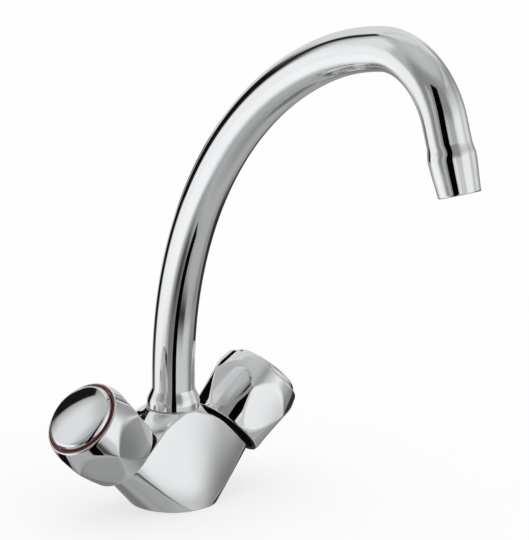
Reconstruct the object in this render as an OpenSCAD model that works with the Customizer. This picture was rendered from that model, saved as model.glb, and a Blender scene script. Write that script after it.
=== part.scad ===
// Two-knob chrome sink mixer with a swivelling swan-neck spout.
// Units are millimetres, +Z is up and the base stands on z = 0.
// Hot is on -X, cold is on +X and the spout points towards -Y at rest.

/* [Body] */
// Diameter of the round base that stands on the deck
base_d = 46; // [42:1:52]
// Height of the plate that carries the spout collar
seat_z = 50.4; // [48:0.2:54]
// Half thickness of the body at the base, at its front and back panels
panel_half = 22.7; // [21:0.1:24]
// Angle at which the front and back panels lean inwards
panel_lean = 9.6; // [7:0.2:11]
// Radius of the gentle bulge of the front and back panels
panel_r = 240; // [150:10:400]
// Radius of the boss under the spout collar
seat_r = 14.3; // [14:0.1:16]
// How far the arch that joins the arms stays behind their end faces
crown_gap = 1.1; // [0.6:0.1:2]
// Depth of the arch's top below the boss
crown_drop = 0.6; // [0.4:0.1:1.5]
// Length of each arm, from where the axes cross to its end face
arm_len = 44.6; // [43:0.1:46]
// Half width of the arm's end, from front to back
arm_wide = 16.8; // [15:0.1:18]
// Half height of the arm's end
arm_tall = 14.2; // [13.8:0.1:15.5]
// Distance of the widest part of each arm from the crossing point
belly_len = 23; // [20:1:26]
// Half width of the widest part of each arm, from front to back
belly_wide = 22.5; // [20:0.5:24]
// Half height of the widest part of each arm
belly_tall = 12.8; // [12:0.1:14]
// Height at which the two knob axes cross the middle line
cross_z = 0; // [-2:0.1:0.5]
// Angle of the knob axes above the deck
knob_angle = 43; // [42:0.5:45]

/* [Spout] */
// Outside diameter of the spout tube
tube_d = 22; // [20:0.5:24]
// Wall thickness of the spout tube
tube_wall = 1.2; // [1:0.1:1.8]
// Straight rise of the tube above the body before it bends
rise = 19.6; // [15:0.2:30]
// Bend radius of the long riser
riser_r = 207; // [170:1:240]
// Angle turned by the long riser
riser_turn = 64.5; // [55:0.5:68]
// Bend radius between the riser and the arch
neck_r = 155; // [120:1:200]
// Angle turned between the riser and the arch
neck_turn = 15.6; // [10:0.2:20]
// Bend radius of the arch
arch_r = 40.7; // [36:0.1:50]
// Angle turned by the arch
arch_turn = 81; // [75:0.5:90]
// Straight tube between the arch and the nozzle
drop = 10.7; // [8:0.1:20]
// Largest radius of the spout collar
collar_r = 13.65; // [13.2:0.05:15]
// Height of the spout collar
collar_h = 10; // [8:0.2:13]

/* [Nozzle] */
// Length of the nozzle
nozzle_len = 24.5; // [22:0.5:28]
// Largest radius of the nozzle
nozzle_r = 12; // [11.8:0.1:13]
// Distance of the nozzle's widest place below its upper edge
nozzle_belly = 4; // [3:0.1:6]
// Radius of the nozzle at its outlet
outlet_r = 10.35; // [10.1:0.05:11]
// Bore radius of the nozzle, where the aerator sits
aerator_r = 9; // [8.4:0.1:9.2]

/* [Knobs] */
// Gap between the arm's end face and the open end of the knob
knob_gap = 2.3; // [1.6:0.1:3]
// Length of the knob, from its open end to its rim
knob_len = 34.8; // [32:0.2:38]
// Radius of the knob at its open end
knob_foot_r = 19.8; // [19.4:0.1:21]
// Largest radius of the knob, where its facets meet
knob_wide_r = 24.8; // [24.2:0.1:26]
// Radius of the knob at its rim
knob_rim_r = 21; // [20.9:0.1:22]
// Height of the widest place above the open end
knob_wide_h = 19.8; // [18:0.1:22]
// Number of flat facets round the knob
facets = 6; // [5:1:8]
// Distance of a facet from the knob's axis at the open end
facet_d = 19.1; // [18.6:0.1:19.4]
// Wall thickness of the knob
knob_wall = 2.2; // [1.6:0.1:2.6]
// Angle of the first facet of the hot knob
hot_phase = 42; // [0:1:59]
// Angle of the first facet of the cold knob
cold_phase = 13; // [0:1:59]
// Radius of the index cap
cap_r = 18.7; // [17:0.1:18.9]
// Width of the coloured index ring
ring_w = 1.5; // [1:0.1:1.8]
// Height of the sloping shoulder of the index cap
shoulder_h = 4.2; // [2:0.1:5]
// Width of the sloping shoulder of the index cap
shoulder_w = 2.5; // [1.5:0.1:4]
// Height of the shallow dome of the index cap above its shoulder
dome_h = 1.8; // [1:0.1:3]

/* [Water ways] */
// Radius of the inlet threads in the base
inlet_r = 4.5; // [4:0.1:4.8]
// Distance of each inlet from the middle
inlet_x = 12; // [11.5:0.1:13]
// Depth of the inlet threads
inlet_depth = 10; // [8:0.5:11]
// Radius of the fixing stud's thread
stud_r = 3.4; // [3:0.1:4]
// Distance of the fixing stud from the middle, towards the back
stud_y = 13; // [12:0.5:14]
// Depth of the fixing stud's thread
stud_depth = 14; // [10:1:16]
// Radius of the socket that the spout turns in
socket_r = 10; // [9.6:0.1:10.2]
// Depth of the socket below the seat
socket_depth = 27; // [25:0.5:28]
// Radius of the bore for the headwork in each arm
arm_bore_r = 9; // [8.8:0.1:9.4]
// Depth of the headwork's bore in each arm
arm_bore_depth = 18.5; // [17:0.5:19]
// Radius of the drilled water passages
passage_r = 2.5; // [2:0.1:3]

/* [Valve] */
// Radius of the spindle
spindle_r = 4; // [3.6:0.1:4.4]
// Radius of the ceramic discs
disc_r = 7.2; // [6.8:0.1:7.4]
// Thickness of each ceramic disc
disc_h = 2.6; // [2:0.1:3]
// Distance across the flats of the headwork's hexagon
hex_af = 20; // [19:0.5:22]
// Height of the headwork's hexagon
hex_h = 4; // [3:0.5:5]
// Radius of the knob screw's shank
screw_r = 2; // [1.6:0.1:2.2]

/* [Clearances] */
// Radial clearance of parts that turn in one another
run = 0.05; // [0.02:0.01:0.08]
// Gap between faces that move past each other
slip = 0.1; // [0.1:0.05:0.3]
// Radial clearance of parts that are fixed in one another
seat = 0.02; // [0.01:0.01:0.05]

/* [Hidden] */
HOT = -1;
COLD = 1;
fine = 96;
chrome = "silver";
brass = "goldenrod";
rubber = "dimgray";
ceramic = "white";

// Body and base seal
slice = 1;
foot_h = 1.5;
boss_h = 10;
crown_top = seat_z - crown_drop;
crown_r = (arm_len - crown_gap - crown_top * sin(knob_angle)) / (1 - sin(knob_angle));
seal_r = base_d / 2 - 3;
seal_w = 3;
seal_h = 2;

// Spout socket, spigot and tube
socket_floor = seat_z - socket_depth;
collar_z = seat_z + 0.3;
spigot_r = socket_r - run;
spigot_bore_r = 7;
spigot_bottom = socket_floor + 2;
spigot_flange_h = 1.3;
spigot_neck_top = collar_z + collar_h + 2;
groove_h = 2.4;
groove_d = 1.6;
oring_upper_z = seat_z - 4;
oring_lower_z = spigot_bottom + 3.5;
keep_z = seat_z - 9;
keep_h = 4.4;
keep_d = 1.5;
screw_m_r = 2.2;
screw_tip_r = 1.6;
tube_r = tube_d / 2;
tube_bore_r = tube_r - tube_wall;
tube_start = collar_z + spigot_flange_h;
tube_lap = 0.5;
tube_grow = 0.02;

// Ends of the tube's straights and bends, each as [y, z], and its headings from upright
function line_end(p, turn, len) = p + len * [-sin(turn), cos(turn)];
function bend_end(p, turn, r, a) = p + r * [cos(turn + a) - cos(turn), sin(turn + a) - sin(turn)];
head_neck = riser_turn;
head_arch = head_neck + neck_turn;
head_end = head_arch + arch_turn;
p_start = [0, tube_start];
p_riser = [0, collar_z + rise];
p_neck = bend_end(p_riser, 0, riser_r, riser_turn);
p_arch = bend_end(p_neck, head_neck, neck_r, neck_turn);
p_drop = bend_end(p_arch, head_arch, arch_r, arch_turn);
p_nozzle = line_end(p_drop, head_end, drop);

// Nozzle and aerator, measured from the nozzle's upper edge
nozzle_socket = 8;
nozzle_step = 1.2;
cage_recess = 0.8;
washer_h = 1.5;
screen_h = 1;
washer_top = nozzle_socket + nozzle_step + 1;
cage_top = washer_top + washer_h + screen_h;

// Knob and valve, measured along the knob's axis from the crossing point
knob_start = arm_len + knob_gap;
knob_top = knob_start + knob_len;
recess_d = 2.4;
recess_z = knob_top - recess_d;
cap_brim = 1.6;
plug_h = 3;
facet_land = 0.12;
facet_slope = ((knob_wide_r + facet_land) * cos(180 / facets) - facet_d) / knob_wide_h;
ring_r = cap_r + 0.2 + ring_w;
bore_floor = arm_len - arm_bore_depth;
seat_seal_h = 1.4;
fixed_z = bore_floor + seat_seal_h;
moving_z = fixed_z + disc_h + slip;
cavity_r = disc_r + 0.2;
driver_h = 2.2;
cavity_top = moving_z + disc_h + driver_h + slip;
headwork_r = arm_bore_r - seat;
hub_recess = 9;
hub_h = 10;
hub_start = knob_start + hub_recess;
hub_top = hub_start + hub_h;
hub_r = 8;
spline_r = spindle_r - 0.4;
screw_head_r = 3.6;
screw_head_h = 2.4;
access_r = 5;
neck_r_headwork = spindle_r + 2.6;
neck_top = hub_start - 1.2;
port_r = 2.6;

// Frames: an arm's axis, and a point of the spout with its heading
module on_arm(side) translate([0, 0, cross_z]) rotate([0, side * (90 - knob_angle), 0]) children();
module along(p, turn) translate([0, p[0], p[1]]) rotate([turn, 0, 0]) children();

module ring(r_out, r_in, h) {
    difference() {
        cylinder(r = r_out, h = h, $fn = fine);
        translate([0, 0, -1]) cylinder(r = r_in, h = h + 2, $fn = fine);
    }
}

// A rubber ring of round section, whose outside radius is r_out
module oring(r_out, thick) {
    rotate_extrude($fn = fine) translate([r_out - thick / 2, 0]) circle(r = thick / 2, $fn = 24);
}

// A thin oval slice of an arm, whose upper face is at a distance along its axis
module oval(top, tall, wide) {
    translate([0, 0, top - slice]) scale([tall / wide, 1, 1]) cylinder(r = wide, h = slice, $fn = 64);
}

// The arch between the tops of the arms
module crown() {
    half = crown_r * sin(knob_angle);
    deep = seat_r + 1.5;
    intersection() {
        translate([0, 0, crown_top - crown_r]) rotate([90, 0, 0])
            cylinder(r = crown_r, h = 2 * deep, center = true, $fn = 120);
        translate([-half, -deep, crown_top - crown_r / 3]) cube([2 * half, 2 * deep, crown_r]);
    }
}

// Outer form of the body: base, two bellied arms and the arch, drawn tight together,
// with the boss that carries the collar
module body_form() {
    hull() {
        cylinder(r = base_d / 2, h = foot_h, $fn = fine);
        for (side = [HOT, COLD])
            on_arm(side) {
                oval(arm_len, arm_tall, arm_wide);
                oval(belly_len, belly_tall, belly_wide);
            }
        crown();
    }
    translate([0, 0, seat_z - boss_h]) cylinder(r = seat_r, h = boss_h, $fn = fine);
}

// One leaning, gently bulging panel; side 1 is the front and -1 the back
module panel(side) {
    translate([0, -side * panel_half, 0])
        rotate([-side * panel_lean, 0, 0])
            translate([0, side * panel_r, -seat_z / 2]) cylinder(r = panel_r, h = 2 * seat_z, $fn = 720);
}

module water_ways() {
    translate([0, 0, socket_floor]) cylinder(r = socket_r, h = socket_depth + 1, $fn = fine);
    for (side = [HOT, COLD]) {
        on_arm(side) {
            translate([0, 0, bore_floor]) cylinder(r = arm_bore_r, h = arm_bore_depth + 1, $fn = fine);
            translate([0, 0, (inlet_depth - 2 - cross_z) / sin(knob_angle)])
                cylinder(r = passage_r, h = bore_floor, $fn = 32);
        }
        translate([side * inlet_x, 0, -1]) cylinder(r = inlet_r, h = inlet_depth + 1, $fn = fine);
        translate([0, 0, socket_floor + passage_r + 0.5]) rotate([0, side * 90, 0])
            cylinder(r = passage_r, h = arm_len / 2, $fn = 32);
    }
    translate([0, stud_y, -1]) cylinder(r = stud_r, h = stud_depth + 1, $fn = fine);
    translate([0, 0, -1]) ring(seal_r, seal_r - seal_w, seal_h + 1);
    translate([0, 0, keep_z]) rotate([-90, 0, 0]) cylinder(r = screw_m_r + seat, h = base_d, $fn = 32);
}

module body() {
    color(chrome) difference() {
        intersection() {
            body_form();
            panel(1);
            panel(-1);
        }
        water_ways();
    }
}

module base_seal() {
    color(rubber) ring(seal_r - seat, seal_r - seal_w + seat, seal_h);
}

// Set screw in the back of the body, whose tip runs in the spigot's groove
module spout_screw() {
    tip = spigot_r - keep_d + slip;
    shank = socket_r + 0.5;
    back = panel_half - keep_z * tan(panel_lean) - 0.8;
    color(chrome) translate([0, 0, keep_z]) rotate([-90, 0, 0]) difference() {
        union() {
            translate([0, 0, tip]) cylinder(r = screw_tip_r, h = back - tip - 1, $fn = 32);
            translate([0, 0, shank]) cylinder(r = screw_m_r, h = back - shank, $fn = 32);
        }
        translate([0, 0, back - 1.5]) cylinder(r = 1.3, h = 3, $fn = 6);
    }
}

module headwork(side) {
    color(brass) on_arm(side) difference() {
        union() {
            translate([0, 0, arm_len]) cylinder(r = hex_af / 2 / cos(30), h = hex_h, $fn = 6);
            translate([0, 0, fixed_z]) cylinder(r = headwork_r, h = arm_len - fixed_z, $fn = fine);
            translate([0, 0, arm_len + hex_h])
                cylinder(r = neck_r_headwork, h = neck_top - arm_len - hex_h, $fn = fine);
        }
        translate([0, 0, fixed_z - 1]) cylinder(r = cavity_r, h = cavity_top - fixed_z + 1, $fn = fine);
        cylinder(r = spindle_r + run, h = knob_top, $fn = fine);
        translate([0, 0, arm_len - 3]) ring(headwork_r + 1, headwork_r - groove_d, groove_h);
        translate([0, 0, cavity_top - driver_h / 2]) rotate([0, 90, 0])
            translate([0, 0, -arm_bore_r - 1]) cylinder(r = port_r, h = 2 * arm_bore_r + 2, $fn = 32);
    }
}

module headwork_oring(side) {
    color(rubber) on_arm(side) translate([0, 0, arm_len - 3 + groove_h / 2])
        oring(arm_bore_r - seat, groove_d);
}

module seat_seal(side) {
    color(rubber) on_arm(side) translate([0, 0, bore_floor]) ring(disc_r, passage_r + 0.5, seat_seal_h);
}

module fixed_disc(side) {
    color(ceramic) on_arm(side) difference() {
        translate([0, 0, fixed_z]) cylinder(r = disc_r, h = disc_h, $fn = fine);
        for (y = [-1, 1])
            translate([0, y * disc_r / 2, fixed_z - 1]) cylinder(r = disc_r / 3.6, h = disc_h + 2, $fn = 32);
    }
}

// One bend of the tube, from the origin upwards and over towards -Y.
// It runs on by lap at each end, and grow makes it a hair fatter than its neighbours.
module bend(r, a, lap, grow) {
    over = lap / r * 180 / PI;
    translate([0, -r, 0]) rotate([90, 0, 90])
        rotate_extrude(start = -over, angle = a + 2 * over, $fn = 180)
            translate([r, 0]) difference() {
                circle(r = tube_r + grow, $fn = 48);
                circle(r = tube_bore_r + grow, $fn = 48);
            }
}

module straight(from, to) {
    translate([0, 0, from]) difference() {
        cylinder(r = tube_r, h = to - from, $fn = 48);
        translate([0, 0, -1]) cylinder(r = tube_bore_r, h = to - from + 2, $fn = 48);
    }
}

module spout_tube() {
    color(chrome) {
        along(p_start, 0) straight(0, p_riser[1] - p_start[1] + tube_lap);
        along(p_riser, 0) bend(riser_r, riser_turn, 0, tube_grow);
        along(p_neck, head_neck) bend(neck_r, neck_turn, tube_lap, 0);
        along(p_arch, head_arch) bend(arch_r, arch_turn, 0, tube_grow);
        along(p_drop, head_end) straight(-tube_lap, drop + nozzle_socket);
    }
}

// Collar with a straight foot and a shoulder that rounds in to the tube
module spout_collar() {
    foot = collar_h * 0.3;
    shoulder = collar_h - foot;
    inner = tube_r + seat;
    color(chrome) translate([0, 0, collar_z]) rotate_extrude($fn = fine)
        polygon(concat(
            [[inner, 0], [collar_r - 0.4, 0], [collar_r, 0.4]],
            [for (t = [0:0.125:1]) [collar_r - (collar_r - inner - 0.3) * pow(t, 1.6), foot + shoulder * t]],
            [[inner, collar_h]]));
}

module spout_spigot() {
    flange_r = tube_r - 0.05;
    color(brass) difference() {
        union() {
            translate([0, 0, spigot_bottom]) cylinder(r = spigot_r, h = collar_z - spigot_bottom, $fn = fine);
            translate([0, 0, collar_z]) cylinder(r = flange_r, h = spigot_flange_h, $fn = fine);
            translate([0, 0, collar_z])
                cylinder(r = tube_bore_r - seat, h = spigot_neck_top - collar_z, $fn = fine);
        }
        translate([0, 0, spigot_bottom - 1]) cylinder(r = spigot_bore_r, h = base_d, $fn = fine);
        for (z = [oring_upper_z, oring_lower_z])
            translate([0, 0, z - groove_h / 2]) ring(spigot_r + 1, spigot_r - groove_d, groove_h);
        translate([0, 0, keep_z - keep_h / 2]) ring(spigot_r + 1, spigot_r - keep_d, keep_h);
    }
}

module spigot_oring(z) {
    color(rubber) translate([0, 0, z]) oring(spigot_r, groove_d);
}

module slip_ring() {
    color("white") translate([0, 0, seat_z + slip])
        ring(collar_r - 0.6, socket_r + 0.4, collar_z - seat_z - slip);
}

module nozzle() {
    edge = 0.5;
    color(chrome) along(p_nozzle, head_end) rotate_extrude($fn = fine)
        polygon([[tube_r + seat, 0], [tube_r + 0.35, 0], [nozzle_r - 0.15, nozzle_belly * 0.65],
                 [nozzle_r, nozzle_belly], [nozzle_r - 0.15, nozzle_belly * 1.4],
                 [outlet_r + 0.1, nozzle_len - edge], [outlet_r - edge, nozzle_len],
                 [aerator_r, nozzle_len], [aerator_r, nozzle_socket + nozzle_step + 1],
                 [tube_bore_r - 1, nozzle_socket + nozzle_step + 1], [tube_bore_r - 1, nozzle_socket],
                 [tube_r + seat, nozzle_socket]]);
}

module aerator_cage() {
    h = nozzle_len - cage_recess - cage_top;
    rib = 0.8;
    pitch = 2.4;
    color("whitesmoke") along(p_nozzle, head_end) translate([0, 0, cage_top]) {
        ring(aerator_r - seat, aerator_r - 1.1, h);
        translate([0, 0, h - 2]) intersection() {
            cylinder(r = aerator_r - 1, h = 2, $fn = fine);
            union() for (i = [-3:3]) {
                translate([i * pitch - rib / 2, -aerator_r, 0]) cube([rib, 2 * aerator_r, 2]);
                translate([-aerator_r, i * pitch - rib / 2, 0]) cube([2 * aerator_r, rib, 2]);
            }
        }
    }
}

module aerator_screen() {
    color("gray") along(p_nozzle, head_end) translate([0, 0, washer_top + washer_h]) difference() {
        cylinder(r = aerator_r - seat, h = screen_h, $fn = fine);
        for (i = [-3:3]) for (j = [-3:3]) if (norm([i, j]) < 3.3)
            translate([i * 2.2, j * 2.2, -1]) cylinder(r = 0.75, h = screen_h + 2, $fn = 16);
    }
}

module aerator_washer() {
    color(rubber) along(p_nozzle, head_end) translate([0, 0, washer_top])
        ring(aerator_r - seat, aerator_r - 2.4, washer_h);
}

// Turned blank of the knob before its facets are cut
module knob_blank() {
    rotate_extrude($fn = fine) polygon([
        [0, knob_start], [knob_foot_r, knob_start], [knob_wide_r, knob_start + knob_wide_h],
        [knob_rim_r + 0.35, knob_top - 1], [knob_rim_r, knob_top - 0.3], [knob_rim_r - 0.3, knob_top],
        [0, knob_top]]);
}

module knob(side, phase) {
    inner_r = knob_foot_r - knob_wall;
    inner_z = recess_z - knob_wall;
    cutter = 2 * knob_wide_r;
    color(chrome) on_arm(side) difference() {
        knob_blank();
        for (k = [0:facets - 1])
            rotate([0, 0, phase + k * 360 / facets]) translate([facet_d, 0, knob_start])
                rotate([0, atan(facet_slope), 0])
                    translate([0, -cutter / 2, -cutter / 2]) cube([cutter, cutter, 2 * cutter]);
        rotate_extrude($fn = fine) polygon([
            [hub_r, knob_start - 1], [inner_r, knob_start - 1], [inner_r, inner_z - 3],
            [inner_r - 2.6, inner_z], [hub_r, inner_z]]);
        translate([0, 0, knob_start - 1]) cylinder(r = hub_r + 1, h = hub_start - knob_start + 1, $fn = fine);
        translate([0, 0, hub_start - 1]) cylinder(r = spline_r + seat, h = knob_len, $fn = fine);
        translate([0, 0, hub_top]) cylinder(r = access_r, h = knob_len, $fn = fine);
        translate([0, 0, recess_z]) cylinder(r = ring_r + seat, h = knob_len, $fn = fine);
    }
}

module index_ring(side) {
    tint = side == HOT ? "firebrick" : "royalblue";
    color(tint) on_arm(side) translate([0, 0, recess_z]) ring(ring_r, ring_r - ring_w, recess_d - 0.2);
}

// Raised, domed cap with a plug that clips into the screw's access hole
module index_cap(side) {
    top_r = cap_r - shoulder_w;
    dome_r = (top_r * top_r + dome_h * dome_h) / (2 * dome_h);
    foot = recess_z + cap_brim;
    top = foot + shoulder_h;
    color(chrome) on_arm(side) {
        translate([0, 0, recess_z]) cylinder(r = cap_r, h = cap_brim, $fn = fine);
        translate([0, 0, foot]) cylinder(r1 = cap_r, r2 = top_r, h = shoulder_h, $fn = fine);
        intersection() {
            translate([0, 0, top]) cylinder(r = top_r, h = dome_h + 1, $fn = fine);
            translate([0, 0, top + dome_h - dome_r]) sphere(r = dome_r, $fn = 180);
        }
        translate([0, 0, recess_z - plug_h]) cylinder(r = access_r - seat, h = plug_h + 0.2, $fn = fine);
    }
}

module knob_screw(side) {
    shank = 9;
    color("silver") on_arm(side) translate([0, 0, hub_top]) difference() {
        union() {
            cylinder(r = screw_head_r, h = screw_head_h, $fn = 48);
            translate([0, 0, -shank]) cylinder(r = screw_r, h = shank + 1, $fn = 48);
        }
        for (a = [0, 90]) rotate([0, 0, a]) translate([-2, -0.4, 1.2]) cube([4, 0.8, 3]);
    }
}

module spindle(side) {
    driver = moving_z + disc_h;
    hole = hub_top - hub_h;
    groove = (arm_len + neck_top) / 2;
    color(brass) on_arm(side) difference() {
        union() {
            translate([0, 0, driver]) cylinder(r = disc_r - 0.7, h = driver_h, $fn = fine);
            translate([0, 0, driver]) cylinder(r = spindle_r, h = hub_start - driver, $fn = fine);
            translate([0, 0, hub_start]) cylinder(r = spline_r, h = hub_top - hub_start - 0.4, $fn = fine);
        }
        translate([0, 0, hole]) cylinder(r = screw_r + seat, h = hub_top, $fn = 48);
        translate([0, 0, groove - 0.7]) ring(spindle_r + 1, spindle_r - 1, 1.4);
    }
}

module moving_disc(side) {
    color(ceramic) on_arm(side) translate([0, 0, moving_z]) difference() {
        cylinder(r = disc_r, h = disc_h, $fn = fine);
        translate([disc_r / 2, 0, -1]) cylinder(r = disc_r / 3.2, h = disc_h / 2 + 1, $fn = 32);
    }
}

module spindle_oring(side) {
    groove = (arm_len + neck_top) / 2;
    color(rubber) on_arm(side) translate([0, 0, groove]) oring(spindle_r, 1);
}

body();
base_seal();
spout_screw();
headwork(HOT);  // hot_headwork
headwork(COLD);  // cold_headwork
headwork_oring(HOT);  // hot_headwork_oring
headwork_oring(COLD);  // cold_headwork_oring
seat_seal(HOT);  // hot_seat_seal
seat_seal(COLD);  // cold_seat_seal
fixed_disc(HOT);  // hot_fixed_disc
fixed_disc(COLD);  // cold_fixed_disc
spout_tube();
spout_collar();
spout_spigot();
spigot_oring(oring_upper_z);  // spigot_oring_upper
spigot_oring(oring_lower_z);  // spigot_oring_lower
slip_ring();
nozzle();
aerator_cage();
aerator_screen();
aerator_washer();
knob(HOT, hot_phase);  // hot_knob
index_ring(HOT);  // hot_index_ring
index_cap(HOT);  // hot_index_cap
knob_screw(HOT);  // hot_knob_screw
spindle(HOT);  // hot_spindle
moving_disc(HOT);  // hot_moving_disc
spindle_oring(HOT);  // hot_spindle_oring
knob(COLD, cold_phase);  // cold_knob
index_ring(COLD);  // cold_index_ring
index_cap(COLD);  // cold_index_cap
knob_screw(COLD);  // cold_knob_screw
spindle(COLD);  // cold_spindle
moving_disc(COLD);  // cold_moving_disc
spindle_oring(COLD);  // cold_spindle_oring
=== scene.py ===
import math

import bmesh
import bpy
import numpy as np
from mathutils import Matrix


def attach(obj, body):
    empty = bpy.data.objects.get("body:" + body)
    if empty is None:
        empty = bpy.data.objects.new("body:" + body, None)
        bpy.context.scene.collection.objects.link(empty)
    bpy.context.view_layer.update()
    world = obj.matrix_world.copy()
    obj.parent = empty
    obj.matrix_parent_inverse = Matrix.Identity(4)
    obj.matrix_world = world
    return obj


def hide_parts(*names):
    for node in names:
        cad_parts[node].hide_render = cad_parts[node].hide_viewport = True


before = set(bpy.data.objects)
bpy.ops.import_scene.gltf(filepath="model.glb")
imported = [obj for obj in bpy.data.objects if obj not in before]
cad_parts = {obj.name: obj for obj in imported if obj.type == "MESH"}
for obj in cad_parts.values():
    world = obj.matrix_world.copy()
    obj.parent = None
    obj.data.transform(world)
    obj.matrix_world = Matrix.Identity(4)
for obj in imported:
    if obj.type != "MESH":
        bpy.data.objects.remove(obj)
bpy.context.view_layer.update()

# Looks of a two-knob sink mixer with a swivelling swan-neck spout.
# Lengths in this script are millimetres, and meshes are written in metres.
MM = 0.001
TAU = 2.0 * math.pi

# Sizes repeated from the CAD model: body
BASE_R = 23.0
FOOT_H = 1.5
SEAT_Z = 50.4
BOSS_R = 14.3
CROWN_GAP = 1.1
CROWN_DROP = 0.6
CROWN_TOP = SEAT_Z - CROWN_DROP
ARM_LEN = 44.6
ARM_WIDE = 16.8
ARM_TALL = 14.2
BELLY_LEN = 23.0
BELLY_WIDE = 22.5
BELLY_TALL = 12.8
KNOB_ANGLE = math.radians(43.0)
INLET_R = 4.5
INLET_X = 12.0
INLET_DEPTH = 10.0
STUD_R = 3.4
STUD_Y = 13.0
STUD_DEPTH = 14.0
SEAL_R = 20.0
SEAL_WIDE = 3.0
SEAL_H = 2.0
SCREW_DROP = 9.0

# Sizes repeated from the CAD model: spout
TUBE_R = 11.0
TUBE_BORE_R = 9.8
COLLAR_Z = 50.7
COLLAR_R = 13.65
COLLAR_H = 10.0
TUBE_START = 52.0
RISE = 19.6
RISER_Z = COLLAR_Z + RISE
DROP = 10.7
NOZZLE_SOCKET = 8.0
NOZZLE_LEN = 24.5
NOZZLE_WIDE = 12.0
AERATOR_R = 9.0
WASHER_TOP = 10.2

# Each bend of the tube: its radius and the degrees that it turns
BENDS = ((207.0, 64.5), (155.0, 15.6), (40.7, 81.0))

# Sizes repeated from the CAD model: knobs, rings and caps
KNOB_GAP = 2.3
KNOB_LEN = 34.8
KNOB_START = ARM_LEN + KNOB_GAP
KNOB_TOP = KNOB_START + KNOB_LEN
KNOB_FOOT_R = 19.8
KNOB_WIDE_R = 24.8
KNOB_WIDE_H = 19.8
KNOB_RIM_R = 21.0
KNOB_WALL = 2.2
KNOB_BORE_R = KNOB_FOOT_R - KNOB_WALL
FACETS = 6
FACET_D = 19.1
FACET_SLOPE = 0.1253
HUB_R = 8.0
HUB_RECESS = 9.0
HUB_H = 10.0
HUB_START = KNOB_START + HUB_RECESS
HUB_TOP = HUB_START + HUB_H
SPLINE_R = 3.6
ACCESS_R = 5.0
RECESS_DEPTH = 2.4
RECESS_R = 20.4
RECESS_Z = KNOB_TOP - RECESS_DEPTH
HOLLOW_TOP = RECESS_Z - KNOB_WALL
HOLLOW_SLOPE_H = 3.0
HOLLOW_SLOPE_W = 2.6
RING_H = 2.2
CAP_TOP_R = 16.2
CAP_BRIM = 1.6
CAP_SHOULDER = 4.2
CAP_FOOT_Z = RECESS_Z + CAP_BRIM
CAP_SHOULDER_Z = CAP_FOOT_Z + CAP_SHOULDER
CAP_DOME = 1.8

# Clearance between pieces that seat on one another
SEAT = 0.02

# The left knob is the hot one. Each knob's facets start at their own angle, and the right
# knob's are turned 6 degrees further than the CAD's.
SIDES = {"hot": -1.0, "cold": 1.0}
PHASES = {"hot": math.radians(42.0), "cold": math.radians(19.0)}


# Mesh helpers

# Longest step of an outline, how far a rounded corner may reach along its sides, its points,
# and the faces round a turned piece
FINE_STEP = 0.6
CORNER_SHARE = 0.45
CORNER_POINTS = 6
TURNED_SEGMENTS = 192
SHARP_ANGLE = 50.0


def smooth_step(x):
    x = np.clip(x, 0.0, 1.0)
    return x * x * (3.0 - 2.0 * x)


def soft_max(a, b, width):
    """The larger of two arrays, rounded over where they are nearly equal."""
    near = np.clip(1.0 - np.abs(a - b) / width, 0.0, 1.0)
    return np.maximum(a, b) + width * near * near / 4.0


def soft_min(a, b, width):
    return -soft_max(-a, -b, width)


def grid_quads(rows, columns, wrap_rows):
    """Quads of a grid whose columns close on themselves, and whose rows may too."""
    last = rows if wrap_rows else rows - 1
    i, j = np.meshgrid(np.arange(last), np.arange(columns), indexing="ij")
    here = i * columns + j
    right = i * columns + (j + 1) % columns
    up = ((i + 1) % rows) * columns + j
    up_right = ((i + 1) % rows) * columns + (j + 1) % columns
    return np.stack([here, right, up_right, up], -1).reshape(-1, 4).tolist()


def pole_fans(rows, columns):
    """Triangles from the first and last rows to one more vertex at each end."""
    low = rows * columns
    high = low + 1
    base = (rows - 1) * columns
    fans = []
    for j in range(columns):
        k = (j + 1) % columns
        fans.append((low, k, j))
        fans.append((high, base + j, base + k))
    return fans


def new_object(name, data):
    """A new object, linked to the scene."""
    made = bpy.data.objects.new(name, data)
    bpy.context.scene.collection.objects.link(made)
    return made


def plain_mesh(name, verts, faces):
    mesh = bpy.data.meshes.new(name)
    mesh.from_pydata((np.asarray(verts) * MM).tolist(), [], faces)
    mesh.update()
    return mesh


def make_mesh(name, verts, faces):
    """A closed mesh whose faces all look outwards."""
    mesh = plain_mesh(name, verts, faces)
    bm = bmesh.new()
    bm.from_mesh(mesh)
    bmesh.ops.recalc_face_normals(bm, faces=bm.faces)
    if bm.calc_volume(signed=True) < 0.0:
        bmesh.ops.reverse_faces(bm, faces=bm.faces)
    bm.to_mesh(mesh)
    bm.free()
    return mesh


def add_piece(name, mesh, material, body, replaced, sharp=SHARP_ANGLE):
    """Adds a finished piece that rides on a body and stands for the CAD nodes named."""
    mesh.shade_smooth()
    mesh.set_sharp_from_angle(angle=math.radians(sharp))
    if not mesh.materials:
        mesh.materials.append(material)
    piece = new_object(name, mesh)
    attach(piece, body)
    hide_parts(*replaced)
    return piece


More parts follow.
